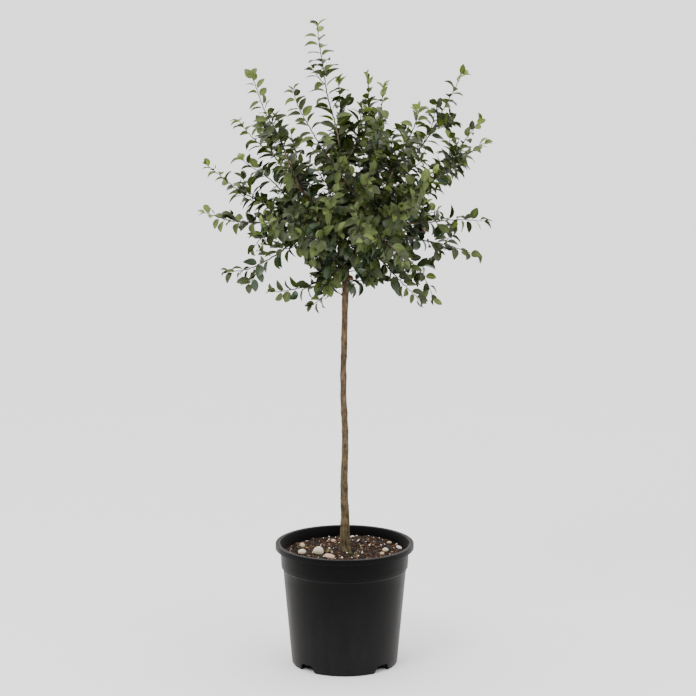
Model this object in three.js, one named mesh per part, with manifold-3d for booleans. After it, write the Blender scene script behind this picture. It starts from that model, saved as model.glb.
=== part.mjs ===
// A young standard shrub in a nursery pot: one bare stem, and a loose open head of long leafy shoots.
// Millimetres, +Z up, origin at the middle of the pot's flat underside. +X is the plant's right-hand
// side and +Y its back.
import * as THREE from 'three';
import { mergeVertices } from 'three/addons/utils/BufferGeometryUtils.js';
import Module from 'manifold-3d';

const wasm = await Module();
wasm.setup();

// ---- Driving sizes ----------------------------------------------------------------------------

const gap = 0.35; // clearance left between two hard solids that meet
const leafGap = 2; // clearance that a leaf mass leaves round its neighbours
const leafTolerance = 0.4; // how far a mass's cut face may be flattened to save facets
const woodTolerance = gap / 4; // and a bough's

const pot = {
  height: 316.5,
  rimRadius: 178,
  lipDepth: 14, // height of the lip's outer face
  lipRound: 2.5,
  lipUnderRound: 1,
  mouthRadius: 166, // opening at the top, where the wall leans out into the lip
  mouthDepth: 20, // how far down the lean goes
  collarRadius: 165, // wall just under the lip
  collarDrop: 56, // from the rim down to the foot of the collar
  collarFootRadius: 163.4,
  shoulderDrop: 68, // from the rim down to where the collar has run into the body
  bodyRadius: 158.5,
  footRadius: 136.3,
  footChamfer: 3,
  wall: 3.2,
  floor: 4,
  sides: 36,
};

const notch = { count: 4, firstBearing: 45, height: 19, topWidth: 33, footWidth: 56, depth: 24 };

const soil = {
  crest: 294,
  edge: 289,
  flatRadius: 24,
  slopeRadius: 72, // where the crown of the soil has fallen half way to its edge
  slack: 1, // extra room inside the collar, where the pot narrows to its body
  notchRoomIn: 8, // how far the soil stays inside the drain notches
  notchRoomUp: 12, // and how far above them it reaches the wall
  sides: 20,
};

const stem = {
  footRadius: 12.5,
  waistRadius: 8.8,
  waistShare: 0.35, // share of the stem's height at which it has narrowed to its waist
  headRadius: 7.8,
  forkHeight: 1085, // above this the stem thins fast, as boughs leave it
  tipRadius: 3.6,
  flare: 5, // extra radius where the stem meets the soil
  flareHeight: 28, // height over which the flare dies away
  buttress: 0.12, // how far the flare's ridges stand out, as a share of the radius
  ridges: 4,
  knuckleHeight: 1008, // old pruning knuckle below the head
  knuckleBulge: 6.5,
  knuckleLength: 24,
  sides: 8,
  rings: 22,
};

// How far the stem's centreline stands to the right of the pot's centre, from the soil to its tip.
const stemSway = [
  [soil.crest + gap, 0.5],
  [390, 1],
  [470, -1.5],
  [590, 2.3],
  [690, -3],
  [820, -1.8],
  [930, 1],
  [1010, 3],
  [1085, -4],
  [1150, -20],
  [1225, -16],
  [1297, -2],
];

const limb = { rootRadius: 5.2, endRadius: 2.9, sides: 6, rings: 3 };

const mass = {
  startShare: 0.42, // radius at the bough's end, as a share of the full girth
  swellRate: 3.6,
  tipShare: 0.5, // radius at the shoot's tip
  drawInRate: 2.4,
  lumps: 0.14,
  endRound: 3,
  sides: 7,
  ringSpacing: 48,
};

const handleShare = 0.38; // reach of a run's two handles, as a share of its span

// The head. Each bough leaves the stem at a height and runs to its own end. Each shoot runs on from
// there to its tip, and the leader's shoots run on from the stem's own tip. Ends and tips are
// [right, back, height]. leave and arrive are the slopes in degrees at a run's two ends, and girth is
// the radius of the leaf mass round the shoot.
const leaderShoots = [
  { tip: [-65, 20, 1641], leave: 78, arrive: 90, girth: 34 },
  { tip: [-14, 110, 1497], leave: 60, arrive: 84, girth: 34 },
  { tip: [40, 60, 1432], leave: 50, arrive: 76, girth: 46 },
];

const boughs = [
  {
    name: 'rise_left', from: 1140, end: [-118, -25, 1240], leave: 35, arrive: 50,
    shoots: [
      { tip: [-226, -130, 1524], leave: 70, arrive: 68, girth: 36 },
      { tip: [-272, 110, 1392], leave: 50, arrive: 42, girth: 36 },
      { tip: [-135, 30, 1372], leave: 60, arrive: 85, girth: 46 },
    ],
  },
  {
    name: 'level_left', from: 1118, end: [-135, 30, 1166], leave: 25, arrive: 18,
    shoots: [
      { tip: [-347, -40, 1300], leave: 16, arrive: 42, girth: 36 },
      { tip: [-349, -90, 1188], leave: -26, arrive: 22, girth: 40 },
      { tip: [-268, 60, 1299], leave: 72, arrive: 26, girth: 38 },
      { tip: [-240, 70, 1064], leave: -15, arrive: -35, girth: 36 },
    ],
  },
  {
    name: 'droop_left', from: 1088, end: [-125, -50, 1119], leave: 25, arrive: -15,
    shoots: [
      { tip: [-299, -60, 1040], leave: -62, arrive: 14, girth: 34 },
      { tip: [-195, -140, 1146], leave: 15, arrive: -12, girth: 46 },
      { tip: [-80, -150, 1062], leave: -20, arrive: -60, girth: 42 },
    ],
  },
  {
    name: 'low_left', from: 1018, end: [-44, -15, 1008], leave: 5, arrive: -10,
    shoots: [
      { tip: [-184, -40, 988], leave: -26, arrive: 28, girth: 31 },
      { tip: [-38, -115, 984], leave: 0, arrive: -40, girth: 32 },
    ],
  },
  {
    name: 'inner_front', from: 1126, end: [30, -50, 1224], leave: 45, arrive: 65,
    shoots: [
      { tip: [-124, -150, 1494], leave: 50, arrive: 74, girth: 35 },
      { tip: [60, -190, 1246], leave: 30, arrive: -10, girth: 44 },
    ],
  },
  {
    name: 'rise_mid', from: 1142, end: [72, 30, 1234], leave: 35, arrive: 55,
    shoots: [
      { tip: [57, 180, 1504], leave: 62, arrive: 78, girth: 40 },
      { tip: [92, -110, 1494], leave: 68, arrive: 84, girth: 34 },
      { tip: [92, 200, 1362], leave: 45, arrive: 60, girth: 42 },
    ],
  },
  {
    name: 'rise_right', from: 1134, end: [98, -10, 1217], leave: 30, arrive: 45,
    shoots: [
      { tip: [188, -150, 1452], leave: 66, arrive: 62, girth: 32 },
      { tip: [294, 110, 1516], leave: 42, arrive: 66, girth: 34 },
    ],
  },
  {
    name: 'right', from: 1124, end: [130, -40, 1190], leave: 25, arrive: 30,
    shoots: [
      { tip: [330, 40, 1408], leave: 34, arrive: 68, girth: 44 },
      { tip: [350, -110, 1356], leave: 30, arrive: 28, girth: 40 },
      { tip: [225, -150, 1290], leave: 25, arrive: 35, girth: 42 },
    ],
  },
  {
    name: 'level_right', from: 1108, end: [118, 40, 1128], leave: 20, arrive: 5,
    shoots: [
      { tip: [358, 30, 1143], leave: 10, arrive: -4, girth: 32 },
      { tip: [338, -40, 1070], leave: -16, arrive: -10, girth: 36 },
      { tip: [245, 160, 1150], leave: 15, arrive: 0, girth: 42 },
    ],
  },
  {
    name: 'droop_right', from: 1090, end: [75, 20, 1081], leave: 15, arrive: -20,
    shoots: [
      { tip: [212, -20, 945], leave: 8, arrive: -98, girth: 32 },
      { tip: [190, -90, 961], leave: -44, arrive: -26, girth: 32 },
      { tip: [58, -100, 1010], leave: -10, arrive: -55, girth: 40 },
    ],
  },
  {
    name: 'front_right', from: 1104, end: [48, -105, 1140], leave: 30, arrive: 10,
    shoots: [
      { tip: [145, -300, 1078], leave: 0, arrive: -35, girth: 44 },
      { tip: [40, -300, 1131], leave: 15, arrive: -25, girth: 42 },
      { tip: [205, -225, 1222], leave: 25, arrive: 15, girth: 42 },
    ],
  },
  {
    name: 'front_left', from: 1098, end: [-45, -100, 1130], leave: 28, arrive: 10,
    shoots: [
      { tip: [-70, -280, 1107], leave: 5, arrive: -35, girth: 42 },
      { tip: [-165, -240, 1185], leave: 20, arrive: 5, girth: 42 },
      { tip: [-25, -195, 1248], leave: 45, arrive: 40, girth: 38 },
    ],
  },
  {
    name: 'rear_right', from: 1114, end: [60, 110, 1150], leave: 28, arrive: 12,
    shoots: [
      { tip: [150, 290, 1190], leave: 15, arrive: 5, girth: 44 },
      { tip: [55, 320, 1100], leave: 2, arrive: -25, girth: 42 },
      { tip: [75, 240, 1312], leave: 50, arrive: 55, girth: 42 },
    ],
  },
  {
    name: 'rear_left', from: 1104, end: [-65, 105, 1145], leave: 28, arrive: 12,
    shoots: [
      { tip: [-160, 280, 1140], leave: 10, arrive: -10, girth: 44 },
      { tip: [-45, 310, 1102], leave: 0, arrive: -25, girth: 42 },
      { tip: [-170, 210, 1282], leave: 45, arrive: 55, girth: 42 },
    ],
  },
];

const finish = {
  pot: new THREE.MeshStandardMaterial({ color: 0x1d1d1f, roughness: 0.45, metalness: 0 }),
  soil: new THREE.MeshStandardMaterial({ color: 0x3a2a20, roughness: 1, metalness: 0 }),
  bark: new THREE.MeshStandardMaterial({ color: 0x6f5f48, roughness: 0.85, metalness: 0 }),
  foliage: new THREE.MeshStandardMaterial({ color: 0x4f6130, roughness: 0.6, metalness: 0 }),
};

// ---- Solids and meshes ------------------------------------------------------------------------

function solidFrom(positions, triangles) {
  const vertProperties = new Float32Array(positions);
  const triVerts = new Uint32Array(triangles);
  return new wasm.Manifold(new wasm.Mesh({ numProp: 3, vertProperties, triVerts }));
}

function solidOf(geometry) {
  geometry.deleteAttribute('normal');
  geometry.deleteAttribute('uv');
  const merged = mergeVertices(geometry, 1e-4);
  return solidFrom(merged.attributes.position.array, merged.index.array);
}

function meshOf(solid, name, material) {
  const { vertProperties, triVerts } = solid.getMesh();
  const geometry = new THREE.BufferGeometry();
  geometry.setAttribute('position', new THREE.BufferAttribute(vertProperties, 3));
  geometry.setIndex(new THREE.BufferAttribute(triVerts, 1));
  geometry.computeVertexNormals();
  const mesh = new THREE.Mesh(geometry, material);
  mesh.name = name;
  return mesh;
}

// A solid of revolution about Z from a profile of [radius, height] pairs that starts and ends at the axis.
function turned(profile, sides) {
  const points = profile.map(([radius, height]) => new THREE.Vector2(radius, height));
  return solidOf(new THREE.LatheGeometry(points, sides).rotateX(Math.PI / 2));
}

// A closed body lofted along a curve. radiusAt(along, angle) gives its radius in the ring at that place,
// and the two end rings close on poles that stand out past the curve's ends by poleReach.
function lofted(curve, radiusAt, rings, sides, poleReach) {
  const frames = curve.computeFrenetFrames(rings, false);
  const positions = [];
  const triangles = [];
  for (let ring = 0; ring <= rings; ring += 1) {
    const along = ring / rings;
    const centre = curve.getPointAt(along);
    for (let side = 0; side < sides; side += 1) {
      const angle = (2 * Math.PI * side) / sides;
      const radius = radiusAt(along, angle);
      const point = centre.clone()
        .addScaledVector(frames.normals[ring], radius * Math.cos(angle))
        .addScaledVector(frames.binormals[ring], radius * Math.sin(angle));
      positions.push(point.x, point.y, point.z);
      if (ring < rings) {
        const here = ring * sides + side;
        const beside = ring * sides + ((side + 1) % sides);
        triangles.push(here, beside, beside + sides, here, beside + sides, here + sides);
      }
    }
  }
  const first = (rings + 1) * sides;
  const last = rings * sides;
  for (const end of [0, 1]) {
    const pole = curve.getPointAt(end).addScaledVector(curve.getTangentAt(end), poleReach * (2 * end - 1));
    positions.push(pole.x, pole.y, pole.z);
  }
  for (let side = 0; side < sides; side += 1) {
    const beside = (side + 1) % sides;
    triangles.push(first, beside, side, first + 1, last + side, last + beside);
  }
  return solidFrom(positions, triangles);
}

function boxesMeet(a, b) {
  const [one, two] = [a.boundingBox(), b.boundingBox()];
  return [0, 1, 2].every((i) => one.min[i] < two.max[i] && two.min[i] < one.max[i]);
}

// Cuts every solid in others away, and keeps the piece that best says it is wanted.
function carved(solid, others, wanted, tolerance) {
  let rest = solid;
  for (const other of others) {
    if (boxesMeet(rest, other)) {
      rest = rest.subtract(other);
    }
  }
  const pieces = rest.simplify(tolerance).decompose();
  return pieces.reduce((best, piece) => (wanted(piece) > wanted(best) ? piece : best));
}

const size = (solid) => solid.volume();

function nearness(place) {
  return (solid) => {
    const { vertProperties } = solid.getMesh();
    let nearest = Infinity;
    for (let i = 0; i < vertProperties.length; i += 3) {
      const point = new THREE.Vector3().fromArray(vertProperties, i);
      nearest = Math.min(nearest, point.distanceTo(place));
    }
    return -nearest;
  };
}

// ---- Pot and soil -----------------------------------------------------------------------------

// Radius of the pot's outer wall below the shoulder.
function bodyRadiusAt(height) {
  const shoulder = pot.height - pot.shoulderDrop;
  return pot.footRadius + ((pot.bodyRadius - pot.footRadius) * height) / shoulder;
}

function potSolid() {
  const { height, wall, lipRound } = pot;
  const shoulder = height - pot.shoulderDrop;
  const collarFoot = height - pot.collarDrop;
  const underLip = height - pot.lipDepth;
  const outside = [
    [0, 0],
    [pot.footRadius - pot.footChamfer, 0],
    [bodyRadiusAt(pot.footChamfer), pot.footChamfer],
    [bodyRadiusAt(shoulder), shoulder],
    [pot.collarFootRadius, collarFoot],
    [pot.collarRadius, underLip],
    [pot.rimRadius - pot.lipUnderRound, underLip],
    [pot.rimRadius, underLip + lipRound],
    [pot.rimRadius, height - lipRound],
    [pot.rimRadius - lipRound, height],
  ];
  const inside = [
    [pot.mouthRadius + lipRound, height],
    [pot.mouthRadius, height - lipRound],
    [pot.collarRadius - wall, height - pot.mouthDepth],
    [pot.collarFootRadius - wall, collarFoot],
    [bodyRadiusAt(shoulder) - wall, shoulder],
    [bodyRadiusAt(pot.floor) - wall, pot.floor],
    [0, pot.floor],
  ];
  let solid = turned([...outside, ...inside], pot.sides);
  for (let i = 0; i < notch.count; i += 1) {
    const bearing = THREE.MathUtils.degToRad(notch.firstBearing + (360 / notch.count) * i);
    solid = solid.subtract(notchSolid(bearing));
  }
  return solid;
}

// The wedge that leaves one drain notch: wider at the pot's foot than at its top.
function notchSolid(bearing) {
  const below = 2;
  const outline = new THREE.Shape([
    new THREE.Vector2(-notch.footWidth / 2, -below),
    new THREE.Vector2(notch.footWidth / 2, -below),
    new THREE.Vector2(notch.topWidth / 2, notch.height),
    new THREE.Vector2(-notch.topWidth / 2, notch.height),
  ]);
  const wedge = new THREE.ExtrudeGeometry(outline, { depth: notch.depth, bevelEnabled: false });
  wedge.rotateX(Math.PI / 2);
  wedge.rotateZ(bearing + Math.PI / 2);
  const inner = pot.footRadius - notch.depth / 2;
  wedge.translate(Math.cos(bearing) * inner, Math.sin(bearing) * inner, 0);
  return solidOf(wedge);
}

// The soil is drawn in at its foot, so that the drain notches open on an empty space.
function soilSolid() {
  const inset = pot.wall + 2 * gap;
  const foot = pot.floor + gap;
  const drawnIn = notch.depth / 2 + soil.notchRoomIn;
  const drawnTo = notch.height + soil.notchRoomUp;
  const edgeRadius = pot.collarFootRadius - inset - soil.slack;
  const shoulder = pot.height - pot.shoulderDrop;
  return turned([
    [0, foot],
    [pot.footRadius - inset - drawnIn, foot],
    [bodyRadiusAt(drawnTo) - inset, drawnTo],
    [bodyRadiusAt(shoulder) - inset, shoulder],
    [edgeRadius, pot.height - pot.collarDrop],
    [edgeRadius, soil.edge],
    [soil.slopeRadius, (soil.crest + soil.edge) / 2],
    [soil.flatRadius, soil.crest],
    [0, soil.crest],
  ], soil.sides);
}

// ---- Stem, boughs and leaf masses -------------------------------------------------------------

const stemCurve = new THREE.CatmullRomCurve3(
  stemSway.map(([height, sway]) => new THREE.Vector3(sway, 0, height)),
);

function stemRadius(height) {
  const { lerp, mapLinear } = THREE.MathUtils;
  const share = (height - soil.crest) / (stem.forkHeight - soil.crest);
  const waist = stem.waistShare;
  let taper = mapLinear(height, stem.forkHeight, stemSway.at(-1)[0], stem.headRadius, stem.tipRadius);
  if (share < waist) {
    taper = lerp(stem.footRadius, stem.waistRadius, share / waist);
  } else if (share < 1) {
    taper = lerp(stem.waistRadius, stem.headRadius, (share - waist) / (1 - waist));
  }
  const flare = stem.flare * Math.exp(-(height - soil.crest) / stem.flareHeight);
  const knuckle = Math.exp(-(((height - stem.knuckleHeight) / stem.knuckleLength) ** 2));
  return taper + flare + stem.knuckleBulge * knuckle;
}

// The foot is trimmed flat where the stem stands on the soil.
function stemSolid(grow) {
  const radiusAt = (along, angle) => {
    const height = stemCurve.getPointAt(along).z;
    const dieAway = Math.exp(-(height - soil.crest) / stem.flareHeight);
    const ridge = stem.buttress * dieAway * Math.sin(stem.ridges * angle);
    return stemRadius(height) * (1 + ridge) + grow;
  };
  return lofted(stemCurve, radiusAt, stem.rings, stem.sides, grow)
    .trimByPlane([0, 0, 1], soil.crest + gap);
}

// The point on the stem's centreline at a height, found by halving the stretch that holds it.
function stemPoint(height) {
  const halvings = 30;
  let [low, high] = [0, 1];
  for (let i = 0; i < halvings; i += 1) {
    const middle = (low + high) / 2;
    if (stemCurve.getPointAt(middle).z < height) {
      low = middle;
    } else {
      high = middle;
    }
  }
  return stemCurve.getPointAt(low);
}

// A run from one place to another that starts and ends at the given slopes.
function run(start, end, leave, arrive) {
  const handle = start.distanceTo(end) * handleShare;
  const heading = Math.atan2(end.y - start.y, end.x - start.x);
  const slope = (degrees) => {
    const angle = THREE.MathUtils.degToRad(degrees);
    const level = Math.cos(angle);
    return new THREE.Vector3(level * Math.cos(heading), level * Math.sin(heading), Math.sin(angle));
  };
  return new THREE.CubicBezierCurve3(
    start,
    start.clone().addScaledVector(slope(leave), handle),
    end.clone().addScaledVector(slope(arrive), -handle),
    end,
  );
}

function boughSolid(curve, grow) {
  const radiusAt = (along) => THREE.MathUtils.lerp(limb.rootRadius, limb.endRadius, along) + grow;
  return lofted(curve, radiusAt, limb.rings, limb.sides, grow);
}

// A leaf mass swells quickly from the bough's end, stays full, and draws in to the shoot's tip. Its lumps
// go three times round and a few times along, and the seed shifts them from mass to mass.
function massSolid(curve, girth, seed, grow) {
  const radiusAt = (along, angle) => {
    const swell = Math.min(1, mass.startShare + mass.swellRate * along);
    const drawIn = Math.min(1, mass.tipShare + mass.drawInRate * (1 - along));
    const lumps = Math.sin(3 * angle + 2.1 * seed) * Math.cos(9 * along + seed)
      + 0.7 * Math.sin(13 * along + 1.7 * seed);
    return girth * swell * drawIn * (1 + mass.lumps * lumps) + grow;
  };
  const rings = Math.round(curve.getLength() / mass.ringSpacing) + 1;
  return lofted(curve, radiusAt, rings, mass.sides, mass.endRound + grow);
}

// ---- Assembly ---------------------------------------------------------------------------------

const plant = new THREE.Group();

plant.add(meshOf(potSolid(), 'pot', finish.pot));
plant.add(meshOf(soilSolid(), 'soil', finish.soil));
plant.add(meshOf(stemSolid(0), 'trunk', finish.bark));

// Each solid is cut round the ones before it: first the stem, then the leaf masses, then the boughs.
const cutters = [stemSolid(2 * gap)];
let massCount = 0;

function addMasses(name, start, shoots) {
  for (const [index, shoot] of shoots.entries()) {
    massCount += 1;
    const curve = run(start, new THREE.Vector3(...shoot.tip), shoot.leave, shoot.arrive);
    const leaves = carved(massSolid(curve, shoot.girth, massCount, 0), cutters, size, leafTolerance);
    plant.add(meshOf(leaves, `mass_${name}_${index + 1}`, finish.foliage));
    cutters.push(massSolid(curve, shoot.girth, massCount, leafGap));
  }
}

function addBough(bough) {
  const root = stemPoint(bough.from);
  const curve = run(root, new THREE.Vector3(...bough.end), bough.leave, bough.arrive);
  const wood = carved(boughSolid(curve, 0), cutters, nearness(root), woodTolerance);
  plant.add(meshOf(wood, `bough_${bough.name}`, finish.bark));
  cutters.push(boughSolid(curve, 2 * gap));
}

addMasses('leader', stemCurve.getPointAt(1), leaderShoots);
for (const bough of boughs) {
  addMasses(bough.name, new THREE.Vector3(...bough.end), bough.shoots);
}
for (const bough of boughs) {
  addBough(bough);
}

export default plant;
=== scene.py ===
import math

import bpy
import numpy as np
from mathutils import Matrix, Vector, noise


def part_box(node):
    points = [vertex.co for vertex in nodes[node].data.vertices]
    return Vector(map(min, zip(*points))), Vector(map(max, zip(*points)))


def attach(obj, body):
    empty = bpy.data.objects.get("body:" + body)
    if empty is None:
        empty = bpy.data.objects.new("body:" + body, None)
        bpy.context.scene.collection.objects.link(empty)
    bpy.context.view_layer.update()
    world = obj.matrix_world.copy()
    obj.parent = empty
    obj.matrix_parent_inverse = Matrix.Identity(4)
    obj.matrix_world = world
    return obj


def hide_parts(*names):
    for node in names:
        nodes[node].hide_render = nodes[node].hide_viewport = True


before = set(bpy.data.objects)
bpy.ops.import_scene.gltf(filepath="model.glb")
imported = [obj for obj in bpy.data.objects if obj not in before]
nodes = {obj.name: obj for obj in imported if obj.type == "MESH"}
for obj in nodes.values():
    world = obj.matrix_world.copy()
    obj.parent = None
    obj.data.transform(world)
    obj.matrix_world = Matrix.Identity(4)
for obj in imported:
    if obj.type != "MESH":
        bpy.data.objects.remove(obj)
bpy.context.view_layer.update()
print("frame loaded:", len(nodes), "nodes")

# small helpers for modelling

def deselectAll():
    bpy.ops.object.select_all(action="DESELECT")


def selectOnly(*pieces):
    deselectAll()
    for piece in pieces:
        piece.select_set(True)
    bpy.context.view_layer.objects.active = pieces[0]


def applyModifiers(piece):
    selectOnly(piece)
    for name in [m.name for m in piece.modifiers]:
        bpy.ops.object.modifier_apply(modifier=name)


def smooth(piece, degrees=60):
    selectOnly(piece)
    bpy.ops.object.shade_smooth_by_angle(angle=math.radians(degrees))


def named(piece, name):
    piece.name = name
    piece.data.name = name
    return piece


def editAll():
    # into edit mode, with the whole mesh picked
    bpy.ops.object.mode_set(mode="EDIT")
    bpy.ops.mesh.select_all(action="SELECT")


def turnOut():
    # every face is turned outwards, and edit mode is left
    bpy.ops.mesh.select_all(action="SELECT")
    bpy.ops.mesh.normals_make_consistent(inside=False)
    bpy.ops.object.mode_set(mode="OBJECT")


def settle(piece, material, slot, *replaced):
    # places the piece in its mesh, dresses it and ties it to the plant
    selectOnly(piece)
    bpy.ops.object.transform_apply(location=True, rotation=True, scale=True)
    piece.data.materials.clear()
    piece.data.materials.append(material)
    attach(piece, "root")
    if replaced:
        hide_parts(*replaced)
    return piece


def meshFrom(name, points, faces, uv=None):
    mesh = bpy.data.meshes.new(name)
    mesh.from_pydata(np.asarray(points).tolist(), [], faces)
    if uv is not None:
        layer = mesh.uv_layers.new(name="leafMap")
        corners = np.zeros(len(mesh.loops), np.int32)
        mesh.loops.foreach_get("vertex_index", corners)
        layer.data.foreach_set("uv", np.asarray(uv)[corners].ravel())
    mesh.update()
    piece = bpy.data.objects.new(name, mesh)
    bpy.context.scene.collection.objects.link(piece)
    return piece


class Bundle:
    # gathers many small meshes that end up as one piece
    def __init__(self):
        self.points, self.faces, self.uv, self.count = [], [], [], 0

    def add(self, points, faces, uv=None):
        self.points.append(points)
        self.faces += [tuple(self.count + i for i in face) for face in faces]
        self.uv.append(np.zeros((len(points), 2)) if uv is None else uv)
        self.count += len(points)

    def piece(self, name):
        return meshFrom(name, np.concatenate(self.points), self.faces, np.concatenate(self.uv))

    def finish(self, name, material, slot, *replaced, degrees=None):
        # the whole bundle as one settled piece, smoothed where an angle is given
        piece = self.piece(name)
        if degrees:
            smooth(piece, degrees)
        return settle(piece, material, slot, *replaced)


def moveVertices(piece, mover):
    # shifts each point along its normal by mover(point), in metres
    for vertex in piece.data.vertices:
        vertex.co += vertex.normal * mover(vertex.co)
    piece.data.update()


def meshPoints(piece):
    points = np.zeros(len(piece.data.vertices) * 3, np.float64)
    piece.data.vertices.foreach_get("co", points)
    return points.reshape(-1, 3)


# shared shader effects

def feed(node, values):
    # each input takes a plain value or a link from another node
    for name, value in values.items():
        if isinstance(value, bpy.types.NodeSocket):
            node.id_data.links.new(value, node.inputs[name])
        else:
            node.inputs[name].default_value = value
    return node


def newNode(tree, kind, values, **settings):
    node = tree.nodes.new("ShaderNode" + kind)
    for name, value in settings.items():
        setattr(node, name, value)
    return feed(node, values)


def maths(tree, operation, *values):
    return newNode(tree, "Math", dict(enumerate(values)), operation=operation).outputs[0]


def ranged(tree, value, fromRange, toRange, curve="LINEAR"):
    (fromMin, fromMax), (toMin, toMax) = fromRange, toRange
    values = {"Value": value, "From Min": fromMin, "From Max": fromMax, "To Min": toMin, "To Max": toMax}
    return newNode(tree, "MapRange", values, interpolation_type=curve).outputs["Result"]


def mixed(tree, factor, first, second, blend="MIX"):
    values = {"Factor": factor, 6: first, 7: second}
    return newNode(tree, "Mix", values, data_type="RGBA", blend_type=blend).outputs[2]


def axes(tree, vector):
    return newNode(tree, "SeparateXYZ", {"Vector": vector}).outputs


def newCoordinates(tree):
    return tree.nodes.new("ShaderNodeTexCoord").outputs


def scaled(color, factor):
    return tuple(factor * c for c in color)


def opaque(color):
    return (*color, 1)


def newGroup(name, inputs, outputs):
    group = bpy.data.node_groups.new(name, "ShaderNodeTree")
    for label, kind, value in inputs:
        socket = group.interface.new_socket(label, in_out="INPUT", socket_type=kind)
        socket.default_value = value
    for label, kind in outputs:
        group.interface.new_socket(label, in_out="OUTPUT", socket_type=kind)
    start = group.nodes.new("NodeGroupInput").outputs
    end = group.nodes.new("NodeGroupOutput")
    return group, start, end


def buildMottle():
    # two colours mixed by a soft noise, and the same noise as a height
    group, start, end = newGroup(
        "mottle",
        [("Dark", "NodeSocketColor", (0.1, 0.1, 0.1, 1)), ("Light", "NodeSocketColor", (0.3, 0.3, 0.3, 1)),
         ("Scale", "NodeSocketFloat", 60.0), ("Stretch", "NodeSocketVector", (1.0, 1.0, 1.0)),
         ("Contrast", "NodeSocketFloat", 1.0)],
        [("Color", "NodeSocketColor"), ("Height", "NodeSocketFloat")])
    stretch = newNode(group, "VectorMath", {0: newCoordinates(group)["Object"], 1: start["Stretch"]},
                      operation="MULTIPLY")
    cloud = newNode(group, "TexNoise", {"Vector": stretch.outputs[0], "Scale": start["Scale"],
                                        "Detail": 4, "Roughness": 0.6})
    centred = maths(group, "SUBTRACT", cloud.outputs["Fac"], 0.5)
    height = maths(group, "MULTIPLY_ADD", centred, start["Contrast"], 0.5)
    height.node.use_clamp = True
    color = mixed(group, height, start["Dark"], start["Light"])
    feed(end, {"Color": color, "Height": height})
    return group


mottleGroup = buildMottle()


def newMaterial(name, roughness, specular=0.5):
    material = bpy.data.materials.new(name)
    material.use_nodes = True
    shader = material.node_tree.nodes["Principled BSDF"]
    feed(shader, {"Roughness": roughness, "Specular IOR Level": specular})
    return material, shader


def addMottle(material, dark, light, scale, stretch=(1, 1, 1), contrast=2.2):
    values = {"Dark": opaque(dark), "Light": opaque(light), "Scale": scale, "Stretch": stretch,
              "Contrast": contrast}
    return newNode(material.node_tree, "Group", values, node_tree=mottleGroup).outputs


def addGrain(material, scale, stretch=(1, 1, 1), contrast=2.0):
    # the mottle in plain black and white, for relief finer than the colours
    return addMottle(material, (0, 0, 0), (1, 1, 1), scale, stretch, contrast)["Height"]


def addBump(material, shader, height, distance, strength, under=None):
    values = {"Height": height, "Distance": distance, "Strength": strength}
    if under is not None:
        values["Normal"] = under.outputs["Normal"]
    bump = newNode(material.node_tree, "Bump", values)
    feed(shader, {"Normal": bump.outputs["Normal"]})
    return bump


# mottled finishes: roughness, shine, the pattern's scale and contrast, the depth and strength of its
# relief, and, where the relief is finer than the colours, its own scale and contrast
finishes = {
    "earth": {"rough": 0.95, "shine": 0.2, "scale": 190, "contrast": 3.6, "deep": 0.0008, "strong": 0.9,
              "fine": (700, 2.5)},
    "barkBit": {"rough": 0.85, "shine": 0.25, "scale": 260, "contrast": 3.0, "deep": 0.0006, "strong": 0.8},
    "stone": {"rough": 0.6, "shine": 0.4, "scale": 120, "contrast": 2.4, "deep": 0.0002, "strong": 0.6,
              "fine": (900, 2.0)},
    "grain": {"rough": 0.9, "shine": 0.4, "scale": 120, "contrast": 2.4, "deep": 0.0002, "strong": 0.6,
              "fine": (900, 2.0)},
    "twig": {"rough": 0.6, "shine": 0.4, "scale": 160, "contrast": 2.4, "deep": 0.0003, "strong": 0.6},
}


def mottledSkin(name, kind, dark, light):
    finish = finishes[kind]
    material, shader = newMaterial(name, finish["rough"], finish["shine"])
    tone = addMottle(material, dark, light, finish["scale"], contrast=finish["contrast"])
    relief = tone["Height"]
    if "fine" in finish:
        fineScale, fineContrast = finish["fine"]
        relief = addGrain(material, fineScale, contrast=fineContrast)
    feed(shader, {"Base Color": tone["Color"]})
    addBump(material, shader, relief, finish["deep"], finish["strong"])
    return material


# the pot: one wall turned from the foot, over the lip and down the inside to the floor

potSizes = {
    "sides": 144,
    "lipDepth": 0.014,
    "lipRound": 0.0022,
    "mouthRadius": 0.166,
    "mouthDepth": 0.02,
    "collarRadius": 0.165,
    "collarDrop": 0.056,
    "ridgeDrop": 0.062,
    "ridgeOut": 0.0011,
    "shoulderDrop": 0.068,
    "bodyRadius": 0.1585,
    "footRadius": 0.1363,
    "wall": 0.0032,
    "floor": 0.004,
    "grooveIn": 0.0058,
    "grooveDeep": 0.0011,
    "notchBearings": (45, 135, 225, 315),
    "notchHeight": 0.019,
    "notchTop": 0.033,
    "notchFoot": 0.056,
    "notchDepth": 0.024,
    "notchBelow": 0.002,
}


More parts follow.
